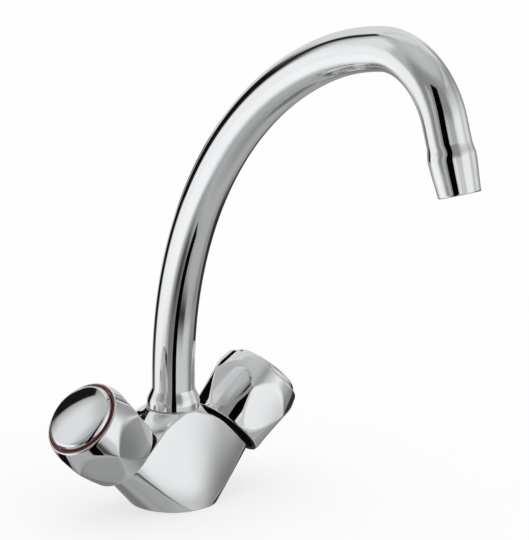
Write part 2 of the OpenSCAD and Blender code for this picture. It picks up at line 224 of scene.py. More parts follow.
def rounded_profile(corners, step=FINE_STEP):
    """A closed outline through corners given as (r, z, rounding), with fine even steps."""
    points = np.array([[c[0], c[1]] for c in corners], float)
    count = len(points)
    out = []
    for i in range(count):
        here = points[i]
        before = points[i - 1] - here
        after = points[(i + 1) % count] - here
        long_before = np.linalg.norm(before)
        long_after = np.linalg.norm(after)
        reach = min(corners[i][2], CORNER_SHARE * long_before, CORNER_SHARE * long_after)
        first = here + before / long_before * reach
        final = here + after / long_after * reach
        if reach <= 0.0:
            out.append(here)
            continue
        for t in np.linspace(0.0, 1.0, CORNER_POINTS):
            out.append((1 - t) ** 2 * first + 2 * t * (1 - t) * here + t * t * final)
    filled = []
    for i, here in enumerate(out):
        there = out[(i + 1) % len(out)]
        parts = max(1, int(math.ceil(np.linalg.norm(there - here) / step)))
        for k in range(parts):
            filled.append(here + (there - here) * k / parts)
    return np.array(filled)


def turned(profile, segments):
    """Points of a turned form: profile rows of (r, z) by angles round the z axis."""
    angle = np.arange(segments) * TAU / segments
    r = profile[:, 0][:, None]
    z = profile[:, 1][:, None]
    flat = np.ones(segments)[None, :]
    return np.stack([r * np.cos(angle)[None, :], r * np.sin(angle)[None, :], z * flat], -1)


def arm_matrix(side):
    """Turns a knob's own frame, with its axis along z, into the frame of the tap."""
    lean = side * (math.pi / 2.0 - KNOB_ANGLE)
    c = math.cos(lean)
    s = math.sin(lean)
    return np.array([[c, 0.0, s], [0.0, 1.0, 0.0], [-s, 0.0, c]])


# Materials

# Noise scales are per metre, and the bump's depth is in metres
NOISE_DETAIL = 3.0
NOISE_SPAN = (0.3, 0.7)
SHADE_SPAN = (0.35, 0.65)
FINER = 3.0
BUMP_DEPTH = 0.0001


def node_material(name):
    material = bpy.data.materials.new(name)
    material.use_nodes = True
    nodes = material.node_tree.nodes
    links = material.node_tree.links
    shader = nodes["Principled BSDF"]
    where = nodes.new("ShaderNodeTexCoord")
    return material, nodes, links, shader, where


def noise(nodes, links, where, scale):
    made = nodes.new("ShaderNodeTexNoise")
    made.inputs["Scale"].default_value = scale
    made.inputs["Detail"].default_value = NOISE_DETAIL
    links.new(where.outputs["Object"], made.inputs["Vector"])
    return made.outputs["Fac"]


def spread(nodes, links, source, low, high):
    """Maps a noise value to a range."""
    made = nodes.new("ShaderNodeMapRange")
    made.inputs["From Min"].default_value = NOISE_SPAN[0]
    made.inputs["From Max"].default_value = NOISE_SPAN[1]
    made.inputs["To Min"].default_value = low
    made.inputs["To Max"].default_value = high
    links.new(source, made.inputs["Value"])
    return made.outputs["Result"]


def shade(nodes, links, source, first, second):
    """Mixes two colours by a noise value."""
    made = nodes.new("ShaderNodeValToRGB")
    for element, position, colour in zip(made.color_ramp.elements, SHADE_SPAN, (first, second)):
        element.position = position
        element.color = (*colour, 1.0)
    links.new(source, made.inputs["Fac"])
    return made.outputs["Color"]


def relief(nodes, links, shader, source, strength):
    made = nodes.new("ShaderNodeBump")
    made.inputs["Strength"].default_value = strength
    made.inputs["Distance"].default_value = BUMP_DEPTH
    links.new(source, made.inputs["Height"])
    links.new(made.outputs["Normal"], shader.inputs["Normal"])


def surface(name, first, second, rough, scale, metallic=0.0, bump=0.0, coat=0.0):
    """A material whose colour and roughness drift gently with a noise of the given scale."""
    material, nodes, links, shader, where = node_material(name)
    drift = noise(nodes, links, where, scale)
    links.new(shade(nodes, links, drift, first, second), shader.inputs["Base Color"])
    fine = noise(nodes, links, where, scale * FINER)
    links.new(spread(nodes, links, fine, rough[0], rough[1]), shader.inputs["Roughness"])
    shader.inputs["Metallic"].default_value = metallic
    shader.inputs["Coat Weight"].default_value = coat
    if bump > 0.0:
        relief(nodes, links, shader, fine, bump)
    return material


CHROME = surface("polished_chrome", (0.925, 0.932, 0.938), (0.945, 0.950, 0.955),
                 (0.035, 0.06), 35.0, metallic=1.0)
# Painted shade: the brass is darkened near black so the headwork in the gap between knob and body
# reads as shade
PAINTED_SHADE_BRASS = surface("brass_painted_shade", (0.050, 0.038, 0.022), (0.075, 0.057, 0.033),
                (0.45, 0.58), 120.0, metallic=1.0, bump=0.1)
STEEL = surface("dull_steel", (0.50, 0.50, 0.51), (0.58, 0.58, 0.59),
                (0.28, 0.38), 150.0, metallic=1.0, bump=0.1)
RUBBER = surface("black_rubber", (0.018, 0.018, 0.019), (0.030, 0.030, 0.031),
                 (0.55, 0.70), 220.0, bump=0.25)
CERAMIC = surface("valve_ceramic", (0.78, 0.77, 0.73), (0.84, 0.83, 0.80),
                  (0.25, 0.33), 160.0)
PLASTIC = surface("white_plastic", (0.74, 0.74, 0.72), (0.80, 0.80, 0.78),
                  (0.32, 0.42), 140.0, bump=0.08)
# Painted shade: the knob's unplated hollow and underside, painted near black so the gap under the
# knob reads as shade
PAINTED_SHADE_ZINC = surface("unplated_zinc_painted_shade", (0.020, 0.020, 0.021), (0.032, 0.032, 0.034),
                 (0.60, 0.75), 120.0, bump=0.2)
HOT_RED = surface("index_red", (0.105, 0.012, 0.010), (0.135, 0.016, 0.013),
                  (0.30, 0.40), 180.0, coat=0.1)
COLD_BLUE = surface("index_blue", (0.012, 0.040, 0.165), (0.018, 0.052, 0.205),
                    (0.30, 0.40), 180.0, coat=0.1)


# Body

# The skin is worked out as distances from one point inside it, the star's centre
STAR_Z = 22.0
FAR_OUT = 110.0
HALVINGS = 34
SMALL = 1.0e-6
AT_ONCE = 8192

# How softly the surfaces meet, in inverse millimetres
CREASE_SOFT = 9.0e-4
EDGE_SOFT = 3.0e-4
BOSS_SOFT = 2.5e-3
SEAT_EDGE_SOFT = 4.0e-4

# How much the boss widens downwards, and how far the arch reaches past it
BOSS_FLARE = 0.7
ARCH_MARGIN = 1.5

# The front and back panels, which bulge more than the CAD's
PANEL_HALF = 25.55
PANEL_LEAN = 0.19775
PANEL_MIDDLE = 30.2
PANEL_BOW_UP = 0.00317
PANEL_BOW = 0.00372
PANEL_EASE = 0.000108
PANEL_EDGE = 4.3e-7
PANEL_ASIDE = 45.0
PANEL_BELOW = 40.0
PANEL_ABOVE = 24.0

# Upward part of a direction from which the spout's seat comes in, the span over which it
# does, and where the crease begins to follow it
SEAT_FROM = 0.12
SEAT_SPAN = 0.48
SEAT_CREASE = 0.35

# Points of the hull's outlines, the cosine from which two planes face the same way, and the
# area below which a face is left out
CIRCLE_POINTS = 360
OVAL_POINTS = 240
ARCH_POINTS = 181
SAME_WAY = 0.9995
TINY_AREA = 1.0e-4

# The skin's grid: longitudes crowd at the places, in degrees, where the outline turns quickly
BODY_LONGITUDES = 576
FINE_LONGITUDES = 7200
TURNING_PLACES = (39.4, -2.7, -43.7, 63.3, 84.0)
CROWDING = 2.2
CROWDED_SPAN = math.radians(4.0)
FRONT_RINGS = 52
CREASE_RINGS = 12
SIDE_RINGS = 44
BODY_SHARP = 42.0
CREASE_HALF = math.radians(2.4)
CREASE_LOW = math.radians(12.0)
CREASE_HIGH = math.radians(90.0)
CREASE_HALVINGS = 20

# Holes: how far the cutters start below the foot, and the set screw's hole
CUT_BELOW = 2.0
GROOVE_BELOW = 1.0
SCREW_HOLE_R = 2.24
SCREW_FROM = 12.0
SCREW_TO = 30.0
HOLE_SEGMENTS = 64
GROOVE_SEGMENTS = 144


def axis_of(side):
    return np.array([side * math.cos(KNOB_ANGLE), 0.0, math.sin(KNOB_ANGLE)])


def oval_points(side, length, tall, wide):
    """Points of an arm's oval section at a distance along its axis."""
    angle = np.arange(OVAL_POINTS) * TAU / OVAL_POINTS
    along = np.full(OVAL_POINTS, length)
    local = np.stack([tall * np.cos(angle), wide * np.sin(angle), along], -1)
    return local @ arm_matrix(side).T


def hull_sources():
    """Points whose tight skin is the body's form: foot, two bellied arms and the arch."""
    angle = np.arange(CIRCLE_POINTS) * TAU / CIRCLE_POINTS
    circle = np.stack([BASE_R * np.cos(angle), BASE_R * np.sin(angle), np.zeros(CIRCLE_POINTS)], -1)
    groups = [circle, circle + np.array([0.0, 0.0, FOOT_H])]
    for side in SIDES.values():
        groups.append(oval_points(side, ARM_LEN, ARM_TALL, ARM_WIDE))
        groups.append(oval_points(side, BELLY_LEN, BELLY_TALL, BELLY_WIDE))
    s = math.sin(KNOB_ANGLE)
    crown_r = (ARM_LEN - CROWN_GAP - CROWN_TOP * s) / (1.0 - s)
    reach = math.radians(90.0) - KNOB_ANGLE
    lean = np.linspace(-reach, reach, ARCH_POINTS)
    for y in (-BOSS_R - ARCH_MARGIN, BOSS_R + ARCH_MARGIN):
        groups.append(np.stack([crown_r * np.sin(lean), np.full(ARCH_POINTS, y),
                                CROWN_TOP - crown_r + crown_r * np.cos(lean)], -1))
    return np.concatenate(groups)


def hull_planes():
    """Outward normals and distances from the star's centre of the skin's planes."""
    centre = np.array([0.0, 0.0, STAR_Z])
    bm = bmesh.new()
    for p in hull_sources() - centre:
        bm.verts.new(p.tolist())
    bmesh.ops.convex_hull(bm, input=bm.verts)
    normals = []
    for face in bm.faces:
        if face.calc_area() < TINY_AREA:
            continue
        n = np.array(face.normal)
        h = float(n @ np.array(face.verts[0].co))
        if h < 0.0:
            n = -n
            h = -h
        normals.append(np.append(n, h))
    bm.free()
    planes = np.array(normals)
    return planes[:, :3], planes[:, 3]


PLANE_N, PLANE_H = hull_planes()
END_LIKE = np.zeros(len(PLANE_N), bool)
for arm_side in SIDES.values():
    END_LIKE |= PLANE_N @ axis_of(arm_side) > SAME_WAY
FLOOR_LIKE = PLANE_N[:, 2] < -SAME_WAY
SKIN_SCALED = (PLANE_N / PLANE_H[:, None])[~(END_LIKE | FLOOR_LIKE)]


def skin_reach(directions):
    """Inverse distance to the hull's side, for many directions."""
    out = np.empty(len(directions))
    for start in range(0, len(directions), AT_ONCE):
        part = directions[start:start + AT_ONCE]
        out[start:start + AT_ONCE] = (part @ SKIN_SCALED.T).max(1)
    return out


def end_reach(directions):
    """Inverse distance to the flat ends of the arms."""
    best = np.full(len(directions), SMALL)
    for side in SIDES.values():
        axis = axis_of(side)
        best = np.maximum(best, directions @ axis / (ARM_LEN - STAR_Z * axis[2]))
    return best


def floor_reach(directions):
    return np.maximum(-directions[:, 2] / STAR_Z, SMALL)


def panel_depth(x, z):
    """Distance of the front panel from the middle plane: rounder towards the foot."""
    aside = np.clip(x, -PANEL_ASIDE, PANEL_ASIDE)
    rise = np.clip(z - PANEL_MIDDLE, -PANEL_BELOW, PANEL_ABOVE)
    bow = PANEL_BOW - PANEL_EASE * rise
    leaning = PANEL_HALF - z * PANEL_LEAN - PANEL_BOW_UP * (z - PANEL_MIDDLE) ** 2
    return leaning - bow * aside ** 2 + PANEL_EDGE * aside ** 4


def panel_reach(directions, side):
    """Inverse distance to a leaning, bulging panel; side 1 is the front."""
    near = np.zeros(len(directions))
    far = np.full(len(directions), FAR_OUT)
    for _ in range(HALVINGS):
        middle = (near + far) / 2.0
        x = directions[:, 0] * middle
        y = directions[:, 1] * middle * -side
        z = directions[:, 2] * middle + STAR_Z
        inside = y < panel_depth(x, z)
        near = np.where(inside, middle, near)
        far = np.where(inside, far, middle)
    return 1.0 / far


def boss_reach(directions):
    """Inverse distance to the spout's seat: a low cone that widens downwards."""
    rise = SEAT_Z - STAR_Z
    flat = np.hypot(directions[:, 0], directions[:, 1])
    wall = (flat + BOSS_FLARE * directions[:, 2]) / (BOSS_R + BOSS_FLARE * rise)
    return soft_max(wall, np.maximum(directions[:, 2] / rise, SMALL), SEAT_EDGE_SOFT)


def side_reaches(directions):
    """Inverse distances to the skin with its arm ends and floor, without and with the seat."""
    bare = soft_max(skin_reach(directions), end_reach(directions), EDGE_SOFT)
    seated = soft_min(bare, boss_reach(directions), BOSS_SOFT)
    floor = floor_reach(directions)
    return soft_max(bare, floor, EDGE_SOFT), soft_max(seated, floor, EDGE_SOFT)


def star_directions(theta, phi):
    """Directions whose poles point to the front and the back."""
    flat = np.sin(theta)
    return np.stack([flat * np.cos(phi), -np.cos(theta), flat * np.sin(phi)], -1)


def body_distance(directions):
    """Distance to the finished skin: the seat comes in gently with the height."""
    bare, seated = side_reaches(directions)
    for side in (1.0, -1.0):
        panel = panel_reach(directions, side)
        bare = soft_max(bare, panel, CREASE_SOFT)
        seated = soft_max(seated, panel, CREASE_SOFT)
    share = smooth_step((directions[:, 2] - SEAT_FROM) / SEAT_SPAN)
    return 1.0 / (bare + (seated - bare) * share)


def crease_angles(phi):
    """For each longitude, the angle from the front pole at which the panel ends."""
    low = np.full(len(phi), CREASE_LOW)
    high = np.full(len(phi), CREASE_HIGH)
    for _ in range(CREASE_HALVINGS):
        middle = (low + high) / 2.0
        d = star_directions(middle, phi)
        bare, seated = side_reaches(d)
        on_panel = panel_reach(d, 1.0) > np.where(d[:, 2] > SEAT_CREASE, seated, bare)
        low = np.where(on_panel, middle, low)
        high = np.where(on_panel, high, middle)
    return (low + high) / 2.0


def body_longitudes():
    """Longitudes, closer together where the body's outline turns quickly."""
    fine = np.linspace(0.0, TAU, FINE_LONGITUDES + 1)[:-1]
    weight = np.full(len(fine), 1.0)
    for place in TURNING_PLACES:
        for spot in (math.radians(place), math.pi - math.radians(place)):
            gap = np.abs((fine - spot + math.pi) % TAU - math.pi)
            weight += CROWDING * np.exp(-((gap / CROWDED_SPAN) ** 2))
    total = np.concatenate([[0.0], np.cumsum(weight)])
    wanted = np.arange(BODY_LONGITUDES) * total[-1] / BODY_LONGITUDES
    edges = np.append(fine, TAU)
    return np.interp(wanted, total, edges)


def body_rings(crease):
    """Angles from the front pole for every ring and longitude, clustered at both creases."""
    rows = []
    for i in range(1, FRONT_RINGS):
        rows.append((crease - CREASE_HALF) * i / FRONT_RINGS)
    for i in range(CREASE_RINGS + 1):
        rows.append(crease - CREASE_HALF + 2.0 * CREASE_HALF * i / CREASE_RINGS)
    for i in range(1, SIDE_RINGS):
        t = i / SIDE_RINGS
        rows.append((crease + CREASE_HALF) * (1.0 - t) + math.pi / 2.0 * t)
    front = np.array(rows)
    middle = np.full((1, len(crease)), math.pi / 2.0)
    return np.concatenate([front, middle, math.pi - front[::-1]])


def body_mesh():
    phi = body_longitudes()
    theta = body_rings(crease_angles(phi))
    rows, columns = theta.shape
    d = star_directions(theta.ravel(), np.tile(phi, rows))
    points = d * body_distance(d)[:, None]
    poles = star_directions(np.array([0.0, math.pi]), np.zeros(2))
    ends = poles * body_distance(poles)[:, None]
    verts = np.concatenate([points, ends]) + np.array([0.0, 0.0, STAR_Z])
    verts[:, 2] = np.maximum(verts[:, 2], 0.0)
    faces = grid_quads(rows, columns, False) + pole_fans(rows, columns)
    return make_mesh("body_skin", verts, faces)


def groove_cutter(name, inner, outer, low, high):
    """A ring for cutting a groove round the z axis."""
    corners = np.array([[inner, low], [outer, low], [outer, high], [inner, high]])
    points = turned(corners, GROOVE_SEGMENTS).reshape(-1, 3)
    mesh = make_mesh(name, points, grid_quads(len(corners), GROOVE_SEGMENTS, True))
    return new_object(name, mesh)


def plug_cutter(name, radius, low, high, turn, place):
    """A closed cylinder for cutting a hole."""
    grid = turned(np.array([[radius, low], [radius, high]]), HOLE_SEGMENTS)
    points = np.concatenate([grid.reshape(-1, 3), [[0.0, 0.0, low], [0.0, 0.0, high]]])
    points = points @ turn.T + np.array(place)
    faces = grid_quads(2, HOLE_SEGMENTS, False) + pole_fans(2, HOLE_SEGMENTS)
    return new_object(name, make_mesh(name, points, faces))


def cut_holes(piece):
    """Inlets, stud hole and seal groove under the foot, and the set screw's hole."""
    upwards = np.eye(3)
    backwards = np.array([[1.0, 0.0, 0.0], [0.0, 0.0, 1.0], [0.0, -1.0, 0.0]])
    cutters = []
    for side_name, side in SIDES.items():
        cutters.append(plug_cutter("cut_" + side_name + "_inlet", INLET_R, -CUT_BELOW, INLET_DEPTH,
                                   upwards, (side * INLET_X, 0.0, 0.0)))
    cutters.append(plug_cutter("cut_stud", STUD_R, -CUT_BELOW, STUD_DEPTH,
                               upwards, (0.0, STUD_Y, 0.0)))
    cutters.append(plug_cutter("cut_screw", SCREW_HOLE_R, SCREW_FROM, SCREW_TO,
                               backwards, (0.0, 0.0, SEAT_Z - SCREW_DROP)))
    cutters.append(groove_cutter("cut_seal", SEAL_R - SEAL_WIDE, SEAL_R, -GROOVE_BELOW,
                                 SEAL_H + SEAT))
    for cutter in cutters:
        modifier = piece.modifiers.new(cutter.name, "BOOLEAN")
        modifier.operation = "DIFFERENCE"
        modifier.solver = "EXACT"
        modifier.object = cutter
    graph = bpy.context.evaluated_depsgraph_get()
    cut = bpy.data.meshes.new_from_object(piece.evaluated_get(graph))
    for cutter in cutters:
        bpy.data.objects.remove(cutter)
    return cut


def add_body():
    """The polished casting, with its holes cut."""
    raw = new_object("body_raw", body_mesh())
    cut = cut_holes(raw)
    bpy.data.objects.remove(raw)
    return add_piece("body_casting", cut, CHROME, "root", ["body"], sharp=BODY_SHARP)


# Spout

# Steps along the tube and round it
STRAIGHT_STEPS = 8
BEND_STEP = 2.6
BEND_STEPS_LEAST = 12
TUBE_SEGMENTS = 96
TUBE_PROUD = 0.01

# Forms of the collar and the nozzle that are softer than the CAD's
COLLAR_SKIRT = 3.2
COLLAR_TOP_GAP = 0.06
COLLAR_POINTS = 40
COLLAR_ROUND = 0.35
COLLAR_POWER = 1.12
NOZZLE_FLARE = 7.0
NOZZLE_OUTLET = 10.45
NOZZLE_STEP = 0.05
NOZZLE_TAPER_START = 0.7
NOZZLE_TAPER_LEN = 19.8
NOZZLE_EASE = 0.25
NOZZLE_EASE_LEN = 12.0
NOZZLE_SKIN_END = 23.8
NOZZLE_POINTS = 60
NOZZLE_SHELF_R = 8.9
NOZZLE_GRID_STEP = 0.8


def spout_path():
    """Points and headings along the middle of the tube, in the plane x = 0."""
    points = [(0.0, TUBE_START, 0.0)]
    y = 0.0
    z = RISER_Z
    turn = 0.0
    for part in np.linspace(0.0, 1.0, STRAIGHT_STEPS + 1)[1:]:
        points.append((0.0, TUBE_START + part * (RISER_Z - TUBE_START), 0.0))
    for radius, degrees in BENDS:
        sweep = math.radians(degrees)
        steps = max(BEND_STEPS_LEAST, int(math.ceil(radius * sweep / BEND_STEP)))
        for k in range(1, steps + 1):
            a = turn + sweep * k / steps
            points.append((y + radius * (math.cos(a) - math.cos(turn)),
                           z + radius * (math.sin(a) - math.sin(turn)), a))
        y, z, turn = points[-1]
    for part in np.linspace(0.0, 1.0, STRAIGHT_STEPS + 1)[1:]:
        length = part * (DROP + NOZZLE_SOCKET)
        points.append((y - math.sin(turn) * length, z + math.cos(turn) * length, turn))
    return np.array(points)


PATH = spout_path()


def tube_rows(path, radius):
    """Rings of the tube: each is square to the path at its point."""
    angle = np.arange(TUBE_SEGMENTS) * TAU / TUBE_SEGMENTS
    across = np.array([1.0, 0.0, 0.0])
    rings = []
    for y, z, turn in path:
        beside = np.array([0.0, math.cos(turn), math.sin(turn)])
        middle = np.array([0.0, y, z])
        ring = (np.cos(angle)[:, None] * across + np.sin(angle)[:, None] * beside) * radius
        rings.append(middle + ring)
    return rings


def add_tube():
    """The bent tube: its outside, and a coarser inside that runs back."""
    rings = np.array(tube_rows(PATH, TUBE_R + TUBE_PROUD) + tube_rows(PATH[::-3], TUBE_BORE_R))
    faces = grid_quads(len(rings), TUBE_SEGMENTS, True)
    mesh = make_mesh("tube_skin", rings.reshape(-1, 3), faces)
    return add_piece("spout_bent_tube", mesh, CHROME, "spout", ["spout_tube"])


def add_turned(name, corners, turn, place, material, body, replaced, step=FINE_STEP):
    """A closed turned piece from its outline's corners."""
    profile = rounded_profile(corners, step)
    points = turned(profile, TURNED_SEGMENTS).reshape(-1, 3) @ turn.T + np.array(place)
    mesh = make_mesh(name, points, grid_quads(len(profile), TURNED_SEGMENTS, True))
    return add_piece(name, mesh, material, body, replaced)


def add_collar():
    """A straight skirt, and above it an even flare that runs into the tube."""
    inner = TUBE_R + SEAT
    top_r = inner + COLLAR_TOP_GAP
    corners = [(inner, 0.0, 0.0), (COLLAR_R - 0.3, 0.0, 0.0), (COLLAR_R - 0.08, 0.1, 0.0),
               (COLLAR_R, 0.35, 0.0)]
    for t in np.linspace(0.0, 1.0, COLLAR_POINTS):
        z = COLLAR_SKIRT + (COLLAR_H - COLLAR_SKIRT) * t
        fall = COLLAR_ROUND * smooth_step(t) + (1.0 - COLLAR_ROUND) * t
        flare = 1.0 - fall ** COLLAR_POWER
        corners.append((top_r + (COLLAR_R - top_r) * flare, z, 0.0))
    corners.append((inner, COLLAR_H, 0.0))
    return add_turned("spout_collar_bell", corners, np.eye(3), (0.0, 0.0, COLLAR_Z),
                      CHROME, "spout", ["spout_collar"])


def nozzle_radius(z):
    """Outside radius of the nozzle: a soft flare below the tube, then a slow taper."""
    start_r = TUBE_R + NOZZLE_STEP
    flare = start_r + (NOZZLE_WIDE - start_r) * smooth_step(z / NOZZLE_FLARE)
    below = max(z - NOZZLE_FLARE * NOZZLE_TAPER_START, 0.0)
    taper = (NOZZLE_WIDE - NOZZLE_OUTLET) * below / NOZZLE_TAPER_LEN
    eased = smooth_step((z - NOZZLE_FLARE) / NOZZLE_EASE_LEN)
    return flare - taper * (1.0 - NOZZLE_EASE + NOZZLE_EASE * eased)


def add_nozzle():
    """The barrel on the tube's end, with a rounded lip and the aerator's bore."""
    y, z, turn = PATH[-1]
    c = math.cos(turn)
    s = math.sin(turn)
    y += s * NOZZLE_SOCKET
    z -= c * NOZZLE_SOCKET
    along_tube = np.array([[1.0, 0.0, 0.0], [0.0, c, -s], [0.0, s, c]])
    inner = TUBE_R + SEAT
    bore = AERATOR_R + SEAT
    corners = [(inner, 0.0, 0.0)]
    for height in np.linspace(0.0, NOZZLE_SKIN_END, NOZZLE_POINTS):
        corners.append((float(nozzle_radius(height)), height, 0.0))
    edge = corners[-1][0]
    lip = [(edge - 0.10, NOZZLE_LEN - 0.3, 0.0), (edge - 0.32, NOZZLE_LEN - 0.08, 0.0),
           (edge - 0.60, NOZZLE_LEN, 0.0)]
    inside = [(AERATOR_R + 0.25, NOZZLE_LEN, 0.3), (bore, NOZZLE_LEN - 0.6, 0.2),
              (bore, WASHER_TOP + 0.05, 0.0), (NOZZLE_SHELF_R, WASHER_TOP, 0.0),
              (NOZZLE_SHELF_R, NOZZLE_SOCKET, 0.0), (inner, NOZZLE_SOCKET, 0.0)]
    return add_turned("spout_nozzle_barrel", corners + lip + inside, along_tube, (0.0, y, z),
                      CHROME, "spout", ["nozzle"], step=NOZZLE_GRID_STEP)


# Knobs

KNOB_SEGMENTS = 432
KNOB_STEP = 1.6
KNOB_ROWS = 66
KNOB_SHARP = 55.0
BLANK_SOFT = 0.5
BLANK_RIM = 0.35
BLANK_RIM_H = 1.0

# Facets: softness and lift of their edges, crowning, and how they draw in at the foot
FACET_SOFT = 0.35
FACET_SOFTER = 0.5
SOFTER_FROM = 20.0
SOFTER_SPAN = 6.0
FACET_RISE = 0.18
FACET_PILLOW = 0.0028
FACET_CLOSING = 1.15
CLOSING_H = 6.5

# The ring and the cap, set a hair inside the CAD's
RING_OUT = 20.36
RING_IN = 18.94
RING_ROUND = 0.35
CAP_R = 18.66
CAP_EDGE_R = 17.1
CAP_MIDDLE_R = 0.35
CAP_DOME_ROWS = 30
CAP_SIDE_ROWS = 16
CAP_LOW_ROW = 0.9
CAP_LIP = 2.0
CAP_INNER_R = 6.0


def knob_blank_radius(z):
    """Radius of the turned blank, softly rounded at its widest place."""
    h = z - KNOB_START
    rising = KNOB_FOOT_R + (KNOB_WIDE_R - KNOB_FOOT_R) * h / KNOB_WIDE_H
    fall_len = KNOB_TOP - BLANK_RIM_H - KNOB_START - KNOB_WIDE_H
    fall_wide = KNOB_WIDE_R - KNOB_RIM_R - BLANK_RIM
    falling = KNOB_WIDE_R - fall_wide * (h - KNOB_WIDE_H) / fall_len
    return soft_min(rising, falling, BLANK_SOFT)


def knob_profile():
    """Closed outline of the knob: outside, rim, recess, bore and hollow underside."""
    outside = []
    for z in np.linspace(KNOB_START + 0.5, KNOB_TOP - 1.2, KNOB_ROWS):
        outside.append((float(knob_blank_radius(np.array([z]))[0]), z, 0.0))
    rim = [(KNOB_RIM_R + 0.24, KNOB_TOP - 0.75, 0.0), (KNOB_RIM_R + 0.08, KNOB_TOP - 0.4, 0.0),
           (KNOB_RIM_R - 0.12, KNOB_TOP - 0.12, 0.0), (KNOB_RIM_R - 0.34, KNOB_TOP, 0.0)]
    recess = [(RECESS_R + SEAT, KNOB_TOP - 0.1, 0.0), (RECESS_R, RECESS_Z, 0.0),
              (ACCESS_R, RECESS_Z, 0.0)]
    bore = [(ACCESS_R, HUB_TOP, 0.0), (SPLINE_R + SEAT, HUB_TOP, 0.0),
            (SPLINE_R + SEAT, HUB_START, 0.0)]
    hollow = [(HUB_R, HUB_START, 0.3), (HUB_R, HOLLOW_TOP, 0.5),
              (KNOB_BORE_R - HOLLOW_SLOPE_W, HOLLOW_TOP, 0.5),
              (KNOB_BORE_R, HOLLOW_TOP - HOLLOW_SLOPE_H, 0.5),
              (KNOB_BORE_R, KNOB_START + 0.25, 0.0), (KNOB_BORE_R + 0.25, KNOB_START, 0.0)]
    foot = [(KNOB_FOOT_R - 0.5, KNOB_START, 0.0), (KNOB_FOOT_R - 0.18, KNOB_START + 0.1, 0.0),
            (KNOB_FOOT_R + 0.02, KNOB_START + 0.3, 0.0)]
    return rounded_profile(foot + outside + rim + recess + bore + hollow, step=KNOB_STEP)


def underside_rows(profile):
    """True for the rows of faces in the knob's hollow and under its foot, left unpolished and
    painted near black as shade.
    """
    low = (profile[:, 1] < HOLLOW_TOP + 0.9) & (profile[:, 0] < KNOB_BORE_R + 0.2)
    low |= profile[:, 1] < KNOB_START + 0.15
    return low & np.roll(low, -1)


def add_knob(side_name):
    """A turned blank whose outside is cut back to soft, slightly crowned facets."""
    profile = knob_profile()
    grid = turned(profile, KNOB_SEGMENTS)
    angle = np.arange(KNOB_SEGMENTS) * TAU / KNOB_SEGMENTS
    pitch = TAU / FACETS
    off = (angle - PHASES[side_name] + pitch / 2.0) % pitch - pitch / 2.0
    height = profile[:, 1] - KNOB_START
    closing = FACET_CLOSING * np.exp(-np.maximum(height, 0.0) / CLOSING_H)
    distance = FACET_D + FACET_SLOPE * height + closing
    across = distance[:, None] * np.tan(off)[None, :]
    plane = (distance[:, None] + FACET_RISE) / np.cos(off)[None, :] - across ** 2 * FACET_PILLOW
    softer = FACET_SOFTER * smooth_step((height - SOFTER_FROM) / SOFTER_SPAN)
    soft = (FACET_SOFT + softer)[:, None]
    blank = np.broadcast_to(profile[:, 0][:, None], plane.shape)
    outside = profile[:, 0][:, None] > KNOB_BORE_R + 0.6
    cut = soft_min(blank, plane, soft)
    radius = np.where(outside, np.minimum(cut, blank), blank)
    scale = radius / blank
    grid[:, :, 0] *= scale
    grid[:, :, 1] *= scale
    points = grid.reshape(-1, 3) @ arm_matrix(SIDES[side_name]).T
    faces = grid_quads(len(profile), KNOB_SEGMENTS, True)
    mesh = make_mesh(side_name + "_knob_skin", points, faces)
    # The hollow and the foot's underside take the near-black painted shade
    under = np.repeat(underside_rows(profile), KNOB_SEGMENTS).tolist()
    mesh.materials.append(CHROME)
    mesh.materials.append(PAINTED_SHADE_ZINC)
    mesh.polygons.foreach_set("material_index", [int(v) for v in under])
    return add_piece(side_name + "_faceted_knob", mesh, CHROME, side_name + "_handle",
                     [side_name + "_knob"], sharp=KNOB_SHARP)


def add_index_ring(side_name):
    """The coloured ring between the knob's rim and its cap."""
    top = RECESS_Z + RING_H
    corners = [(RING_IN, RECESS_Z, 0.0), (RING_OUT, RECESS_Z, 0.0), (RING_OUT, top, RING_ROUND),
               (RING_IN, top, RING_ROUND)]
    material = HOT_RED if side_name == "hot" else COLD_BLUE
    return add_turned(side_name + "_index_band", corners, arm_matrix(SIDES[side_name]),
                      (0.0, 0.0, 0.0), material, side_name + "_handle",
                      [side_name + "_index_ring"])


def add_cap(side_name):
    """Shallow dome that rolls over into a steep shoulder."""
    dome_r = (CAP_TOP_R ** 2 + CAP_DOME ** 2) / (2.0 * CAP_DOME)
    top = CAP_SHOULDER_Z + CAP_DOME
    floor = RECESS_Z + SEAT
    rows = []
    for r in np.linspace(CAP_MIDDLE_R, CAP_EDGE_R, CAP_DOME_ROWS):
        rows.append((r, top - dome_r + math.sqrt(dome_r ** 2 - r * r)))
    edge_r, edge_z = rows[-1]
    slope = math.asin(edge_r / dome_r)
    for t in np.linspace(slope, math.pi / 2.0, CAP_SIDE_ROWS)[1:]:
        share_r = (math.sin(t) - math.sin(slope)) / (1.0 - math.sin(slope))
        share_z = (math.cos(slope) - math.cos(t)) / math.cos(slope)
        rows.append((edge_r + (CAP_R - edge_r) * share_r, edge_z - (edge_z - CAP_FOOT_Z) * share_z))
    rows.append((CAP_R, RECESS_Z + CAP_LOW_ROW))
    rows.append((CAP_R, floor))
    rows.append((CAP_R - CAP_LIP, floor))
    rows.append((CAP_INNER_R, floor))
    grid = turned(np.array(rows), TURNED_SEGMENTS).reshape(-1, 3)
    ends = np.array([[0.0, 0.0, top], [0.0, 0.0, floor]])
    points = np.concatenate([grid, ends]) @ arm_matrix(SIDES[side_name]).T
    faces = grid_quads(len(rows), TURNED_SEGMENTS, False) + pole_fans(len(rows), TURNED_SEGMENTS)
    mesh = make_mesh(side_name + "_cap_skin", points, faces)
    return add_piece(side_name + "_domed_cap", mesh, CHROME, side_name + "_handle",
                     [side_name + "_index_cap"])


# CAD nodes

